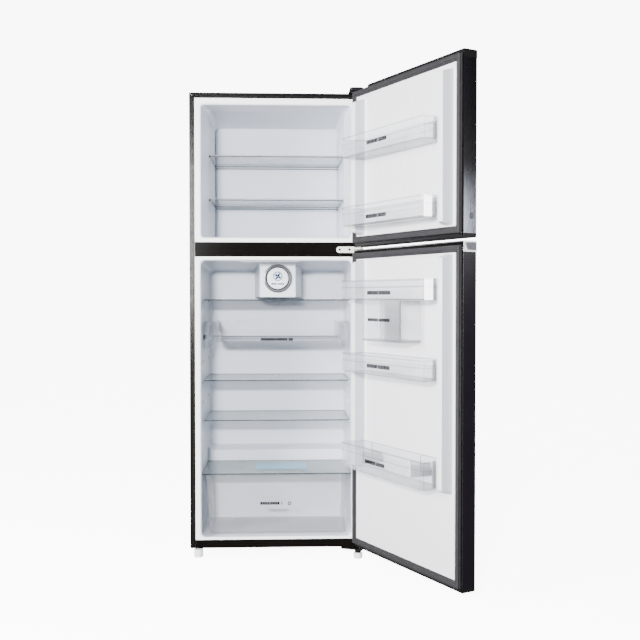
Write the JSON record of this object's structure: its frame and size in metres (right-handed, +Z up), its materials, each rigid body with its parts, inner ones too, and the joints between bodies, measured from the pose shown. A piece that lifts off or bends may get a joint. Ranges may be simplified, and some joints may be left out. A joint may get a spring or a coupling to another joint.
{
  "type": "top freezer refrigerator",
  "caption": "Refrigerator with a freezer compartment on top, its doors open, with clear door bins, shelves, a sliding tray, a crisper drawer and an air tower.",
  "frame": {"origin": "on the floor, under the middle of the bounding box of the whole object with its doors open as at rest", "axes": "+Z up; +X to the viewer's right when facing the open front, across the cabinet towards the hinges; +Y from the front to the back"},
  "size_m": [0.8827, 1.1302, 1.63],
  "materials": {
    "black_steel": "gloss black paint",
    "black_gloss": "high gloss black",
    "galvanised": "zinc plated, satin",
    "bright_trim": "bright plated",
    "aluminium_fins": "satin",
    "ivory_metal": "ivory paint, satin",
    "white_plastic": "white, soft sheen",
    "frosted_plastic": "milky translucent",
    "clear_plastic": "clear moulded plastic",
    "glass_shelf": "clear toughened glass, greenish edge",
    "black_plastic": "fine matt",
    "grey_gasket": "dark grey, matt",
    "foam": "expanded foam, hidden inside walls"
  },
  "bodies": {
    "cabinet": {"outer_wrap": "black_steel", "insulation": "foam", "rear_panel": "galvanised", "freezer_liner": "white_plastic", "fridge_liner": "white_plastic", "centre_rail": "black_steel", "bottom_rail": "black_steel", "base_pan": "galvanised", "compressor": "black_steel", "drain_pan": "black_plastic", "condenser_coil": "black_steel", "evaporator": "aluminium_fins", "freezer_rear_cover": "white_plastic", "freezer_fan_motor": "black_plastic", "air_tower": "white_plastic", "fridge_fan_motor": "black_plastic", "fan_ring": "bright_trim", "fan_cover": "white_plastic", "lamp_cover": "frosted_plastic", "freezer_shelf_upper": "clear_plastic", "freezer_shelf_lower": "clear_plastic", "fridge_shelf_top": "glass_shelf", "fridge_shelf_middle": "glass_shelf", "fridge_shelf_lower": "glass_shelf", "crisper_cover": "glass_shelf", "tray_rail_left": "white_plastic", "tray_rail_right": "white_plastic", "top_hinge": "galvanised", "top_hinge_cover": "black_plastic", "middle_hinge": "ivory_metal", "hinge_screw_1": "bright_trim", "hinge_screw_2": "bright_trim", "bottom_hinge": "black_steel"},
    "freezer_door": {"freezer_door_skin": "black_gloss", "freezer_door_core": "foam", "freezer_door_liner": "white_plastic", "freezer_door_gasket": "grey_gasket", "freezer_door_top_cap": "black_plastic", "freezer_door_bottom_cap": "black_plastic"},
    "fridge_door": {"fridge_door_skin": "black_gloss", "fridge_door_core": "foam", "fridge_door_liner": "white_plastic", "fridge_door_gasket": "grey_gasket", "fridge_door_handle": "bright_trim", "fridge_door_bottom_cap": "black_plastic"},
    "lock": {"lock_cylinder": "bright_trim"},
    "freezer_bin_upper_body": {"freezer_bin_upper": "clear_plastic"},
    "freezer_bin_lower_body": {"freezer_bin_lower": "clear_plastic"},
    "fridge_bin_upper_body": {"fridge_bin_upper": "clear_plastic"},
    "fridge_bin_middle_body": {"fridge_bin_middle": "clear_plastic"},
    "fridge_bin_lower_body": {"fridge_bin_lower": "clear_plastic"},
    "care_box_body": {"care_box": "clear_plastic"},
    "tray": {"sliding_tray": "clear_plastic"},
    "crisper": {"crisper_drawer": "clear_plastic"},
    "freezer_fan_rotor": {"freezer_fan": "white_plastic"},
    "fridge_fan_rotor": {"fridge_fan": "white_plastic"},
    "left_foot": {"foot_left": "frosted_plastic"},
    "right_foot": {"foot_right": "frosted_plastic"},
    "left_roller": {"roller_left": "black_plastic"},
    "right_roller": {"roller_right": "black_plastic"}
  },
  "joints": [
    {"name": "freezer_door_hinge", "type": "hinge", "parent": "cabinet", "child": "freezer_door", "pos_m": [0.147, -0.033, 1.08], "axis": [0, 0, 1], "range_deg": [-117.2, 15]},
    {"name": "fridge_door_hinge", "type": "hinge", "parent": "cabinet", "child": "fridge_door", "pos_m": [0.147, -0.033, 1.08], "axis": [0, 0, 1], "range_deg": [-117.2, 15]},
    {"name": "lock_turn", "type": "hinge", "parent": "freezer_door", "child": "lock", "pos_m": [0.42556, -0.55095, 1.146], "axis": [0.4571, -0.8894, 0], "range_deg": [0, 90]},
    {"name": "freezer_bin_upper_draw", "type": "slide", "parent": "freezer_door", "child": "freezer_bin_upper_body", "axis": [-0.8894, -0.4571, 0], "range_m": [0, 0.1]},
    {"name": "freezer_bin_lower_draw", "type": "slide", "parent": "freezer_door", "child": "freezer_bin_lower_body", "axis": [-0.8894, -0.4571, 0], "range_m": [0, 0.1]},
    {"name": "fridge_bin_upper_draw", "type": "slide", "parent": "fridge_door", "child": "fridge_bin_upper_body", "axis": [-0.8894, -0.4571, 0], "range_m": [0, 0.1]},
    {"name": "fridge_bin_middle_draw", "type": "slide", "parent": "fridge_door", "child": "fridge_bin_middle_body", "axis": [-0.8894, -0.4571, 0], "range_m": [0, 0.1]},
    {"name": "fridge_bin_lower_draw", "type": "slide", "parent": "fridge_door", "child": "fridge_bin_lower_body", "axis": [-0.8894, -0.4571, 0], "range_m": [0, 0.1]},
    {"name": "care_box_draw", "type": "slide", "parent": "fridge_bin_upper_body", "child": "care_box_body", "axis": [-0.8894, -0.4571, 0], "range_m": [0, 0.09]},
    {"name": "tray_slide", "type": "slide", "parent": "cabinet", "child": "tray", "axis": [0, -1, 0], "range_m": [0, 0.22]},
    {"name": "crisper_slide", "type": "slide", "parent": "cabinet", "child": "crisper", "axis": [0, -1, 0], "range_m": [0, 0.21]},
    {"name": "freezer_fan_spin", "type": "hinge", "parent": "cabinet", "child": "freezer_fan_rotor", "pos_m": [-0.142, 0.421, 1.45], "axis": [0, 1, 0], "continuous": true},
    {"name": "fridge_fan_spin", "type": "hinge", "parent": "cabinet", "child": "fridge_fan_rotor", "pos_m": [-0.1375, 0.143, 0.979], "axis": [0, 1, 0], "continuous": true},
    {"name": "left_foot_turn", "type": "hinge", "parent": "cabinet", "child": "left_foot", "pos_m": [-0.416, 0.03, 0], "axis": [0, 0, 1], "continuous": true},
    {"name": "right_foot_turn", "type": "hinge", "parent": "cabinet", "child": "right_foot", "pos_m": [0.142, -0.007, 0], "axis": [0, 0, 1], "continuous": true},
    {"name": "left_roller_spin", "type": "hinge", "parent": "cabinet", "child": "left_roller", "pos_m": [-0.382, 0.52, 0.016], "axis": [1, 0, 0], "continuous": true},
    {"name": "right_roller_spin", "type": "hinge", "parent": "cabinet", "child": "right_roller", "pos_m": [0.098, 0.52, 0.016], "axis": [1, 0, 0], "continuous": true}
  ]
}
